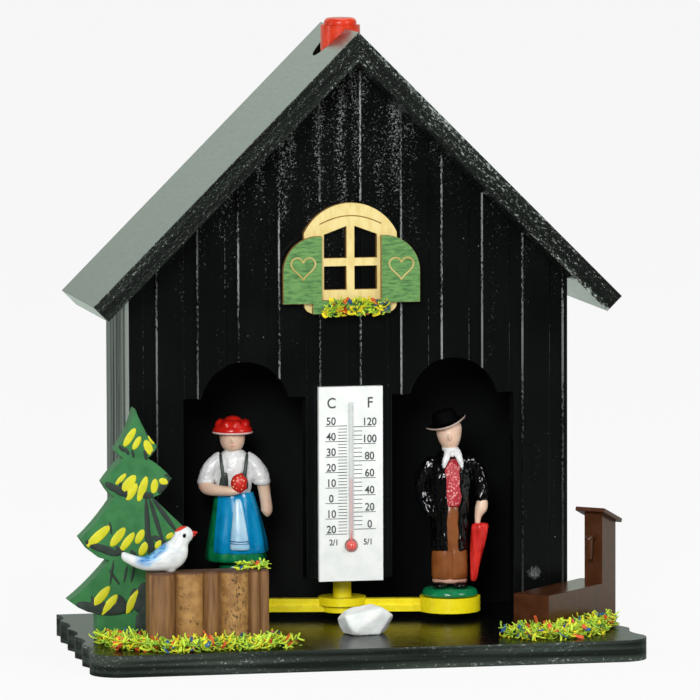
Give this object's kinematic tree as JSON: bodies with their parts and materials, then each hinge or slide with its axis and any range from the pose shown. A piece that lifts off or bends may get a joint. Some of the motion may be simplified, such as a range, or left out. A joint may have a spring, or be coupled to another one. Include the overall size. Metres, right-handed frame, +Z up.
{
  "type": "weather house",
  "caption": "Wooden weather house with a thermometer and a planted garden board; figures on a gut-hung beam swing through the doors, and the chimney turns to set them.",
  "frame": {"origin": "on the base board's underside, below the middle of the house and at half the board's depth", "axes": "+Z up, +X to the right across the front, +Y from the front to the back of the house"},
  "size_m": [0.1761, 0.099, 0.1925],
  "materials": {
    "black_ply": "plywood under glossy black lacquer",
    "bare_wood": "raw",
    "steel": "plain",
    "red_plastic": "moulded, glossy",
    "gut": "twisted gut",
    "yellow_plastic": "moulded, satin",
    "blue_plastic": "moulded and hand painted",
    "black_plastic": "moulded and hand painted",
    "card": "white with grey print",
    "glass": "clear",
    "red_liquid": "red spirit",
    "cream_wood": "painted cream with burnt edges",
    "green_wood": "painted green with burnt edges",
    "flock": "loose coloured flock",
    "tree_paint": "painted green with dark strokes",
    "log_wood": "bark brown, rubbed through",
    "bird_paint": "hand painted",
    "stone": "natural pebble",
    "brown_plastic": "moulded, satin"
  },
  "bodies": {
    "house": {"base_board": "black_ply", "front_wall": "black_ply", "left_side_wall": "black_ply", "right_side_wall": "black_ply", "back_panel": "black_ply", "left_roof_panel": "black_ply", "right_roof_panel": "black_ply", "ridge_block": "bare_wood", "base_screws": "steel", "back_nails": "steel", "thermometer_card": "card", "thermometer_tube": "glass", "thermometer_liquid": "red_liquid", "window_frame": "cream_wood", "shutter_plate": "green_wood", "window_flowers": "flock", "fir_tree": "tree_paint", "log_palisade": "log_wood", "log_grass": "flock", "bird": "bird_paint", "pebble": "stone", "water_trough": "brown_plastic", "post_cap": "brown_plastic", "grass_left": "flock", "grass_right": "flock"},
    "knob": {"chimney_knob": "red_plastic", "chimney_cap": "red_plastic"},
    "beam": {"gut_string": "gut", "swing_beam": "yellow_plastic", "woman_figure": "blue_plastic", "man_figure": "black_plastic"}
  },
  "joints": [
    {"name": "knob_turn", "type": "hinge", "parent": "house", "child": "knob", "pos_m": [0, 0.0195, 0.1715], "axis": [0, 0, 1], "range_deg": [-10, 10]},
    {"name": "figure_swing", "type": "hinge", "parent": "knob", "child": "beam", "pos_m": [0, 0.0195, 0.0113], "axis": [0, 0, 1], "range_deg": [-8, 29], "stiffness_Nm_per_rad": 0.0004}
  ]
}
